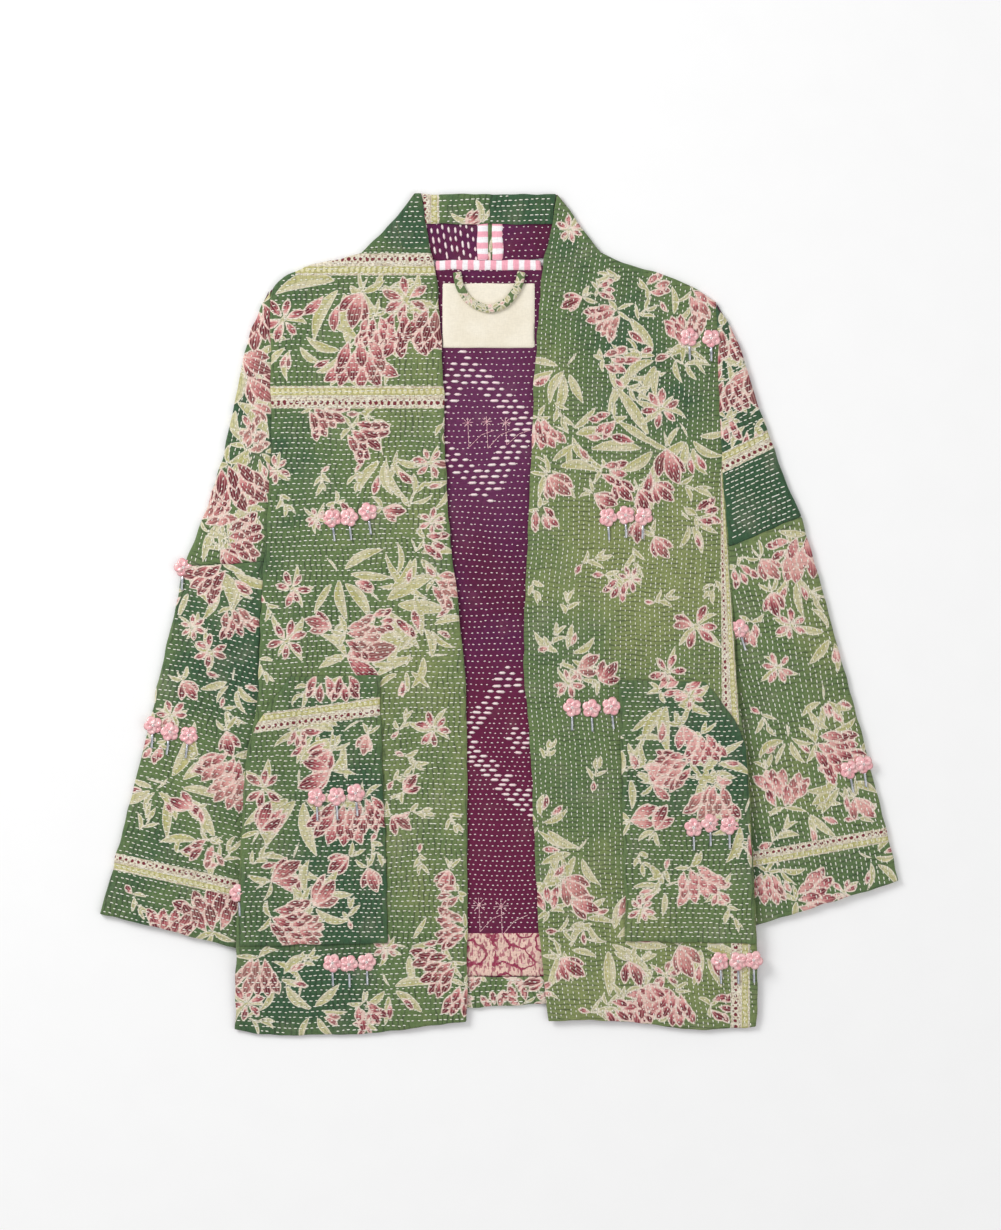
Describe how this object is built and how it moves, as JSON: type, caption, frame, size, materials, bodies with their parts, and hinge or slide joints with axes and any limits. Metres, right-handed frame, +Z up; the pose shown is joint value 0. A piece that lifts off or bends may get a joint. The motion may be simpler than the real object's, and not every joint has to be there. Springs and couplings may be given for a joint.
{
  "type": "quilted kimono jacket",
  "caption": "Open-front kimono jacket of hand-quilted printed cotton, laid flat, with a stand collar, wide sleeves, patch pockets, a hanger loop and a plain label.",
  "frame": {"origin": "on the surface that the jacket lies on, under the middle of its box", "axes": "+Z up from the surface, +Y from the hem towards the collar, +X towards the wearer's left sleeve"},
  "size_m": [0.7182, 0.7588, 0.0133],
  "materials": {
    "green_print": "printed cotton, hand quilted",
    "green_patch": "plain dyed cotton, hand quilted",
    "purple_inside": "dyed cotton, hand quilted",
    "striped_tape": "striped cotton tape",
    "label_cloth": "plain woven label",
    "thread": "cotton thread",
    "sequin": "pearly cup sequins",
    "bugle_bead": "silver-lined bugle beads"
  },
  "bodies": {
    "root": {"back": "purple_inside", "back_hem": "green_print", "front_right": "green_print", "front_left": "green_print", "sleeve_right_upper": "green_print", "sleeve_right_lower": "green_print", "sleeve_left_upper": "green_patch", "sleeve_left_lower": "green_print", "pocket_right": "green_print", "pocket_left": "green_print", "collar_facing_right": "green_print", "collar_facing_left": "green_patch", "neck_tape": "striped_tape", "cb_tape_right": "striped_tape", "cb_tape_left": "striped_tape", "label": "label_cloth", "hanger_loop": "green_print"}
  },
  "joints": []
}
